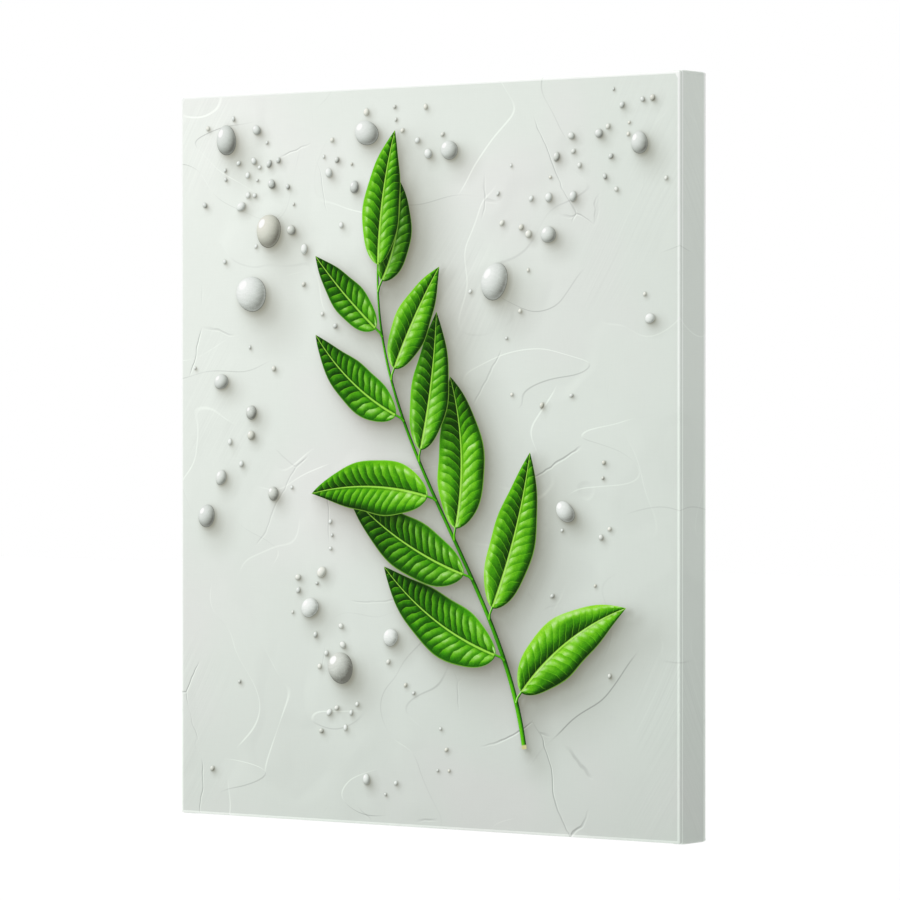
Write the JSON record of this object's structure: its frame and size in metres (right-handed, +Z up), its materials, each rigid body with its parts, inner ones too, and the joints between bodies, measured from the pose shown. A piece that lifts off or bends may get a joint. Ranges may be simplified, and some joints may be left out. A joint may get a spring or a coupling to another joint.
{
  "type": "canvas print",
  "caption": "Stretched canvas print, folded round a mitred and keyed wooden stretcher frame, stapled behind, with a saw-tooth hanger and wall pads.",
  "frame": {"origin": "in the middle notch of the saw-tooth hanger, on the wall's plane, where a wall nail carries the picture", "axes": "+Z up, the picture faces -Y, the wall is the plane Y = 0, and +X is to the right of someone who looks at the picture"},
  "size_m": [0.508, 0.0406, 0.6116],
  "materials": {
    "printed_cloth": "matt woven cotton cloth, printed on the outside with a leafy sprig on a pale ground",
    "pine": "planed bare pine",
    "key_wood": "sawn pale wood",
    "staple_steel": "galvanised wire",
    "hanger_brass": "brass plated",
    "pad_rubber": "matt soft rubber"
  },
  "bodies": {
    "root": {"canvas": "printed_cloth", "bar_top": "pine", "bar_bottom": "pine", "bar_left": "pine", "bar_right": "pine", "key_top_left_across": "key_wood", "key_top_left_upright": "key_wood", "key_top_right_across": "key_wood", "key_top_right_upright": "key_wood", "key_bottom_left_across": "key_wood", "key_bottom_left_upright": "key_wood", "key_bottom_right_across": "key_wood", "key_bottom_right_upright": "key_wood", "staple_top_1": "staple_steel", "staple_top_2": "staple_steel", "staple_top_3": "staple_steel", "staple_top_4": "staple_steel", "staple_top_5": "staple_steel", "staple_top_6": "staple_steel", "staple_top_7": "staple_steel", "staple_top_8": "staple_steel", "staple_bottom_1": "staple_steel", "staple_bottom_2": "staple_steel", "staple_bottom_3": "staple_steel", "staple_bottom_4": "staple_steel", "staple_bottom_5": "staple_steel", "staple_bottom_6": "staple_steel", "staple_bottom_7": "staple_steel", "staple_bottom_8": "staple_steel", "staple_left_1": "staple_steel", "staple_left_2": "staple_steel", "staple_left_3": "staple_steel", "staple_left_4": "staple_steel", "staple_left_5": "staple_steel", "staple_left_6": "staple_steel", "staple_left_7": "staple_steel", "staple_left_8": "staple_steel", "staple_left_9": "staple_steel", "staple_left_10": "staple_steel", "staple_right_1": "staple_steel", "staple_right_2": "staple_steel", "staple_right_3": "staple_steel", "staple_right_4": "staple_steel", "staple_right_5": "staple_steel", "staple_right_6": "staple_steel", "staple_right_7": "staple_steel", "staple_right_8": "staple_steel", "staple_right_9": "staple_steel", "staple_right_10": "staple_steel", "hanger": "hanger_brass", "hanger_nail_left": "hanger_brass", "hanger_nail_right": "hanger_brass", "wall_pad_left": "pad_rubber", "wall_pad_right": "pad_rubber"}
  },
  "joints": []
}
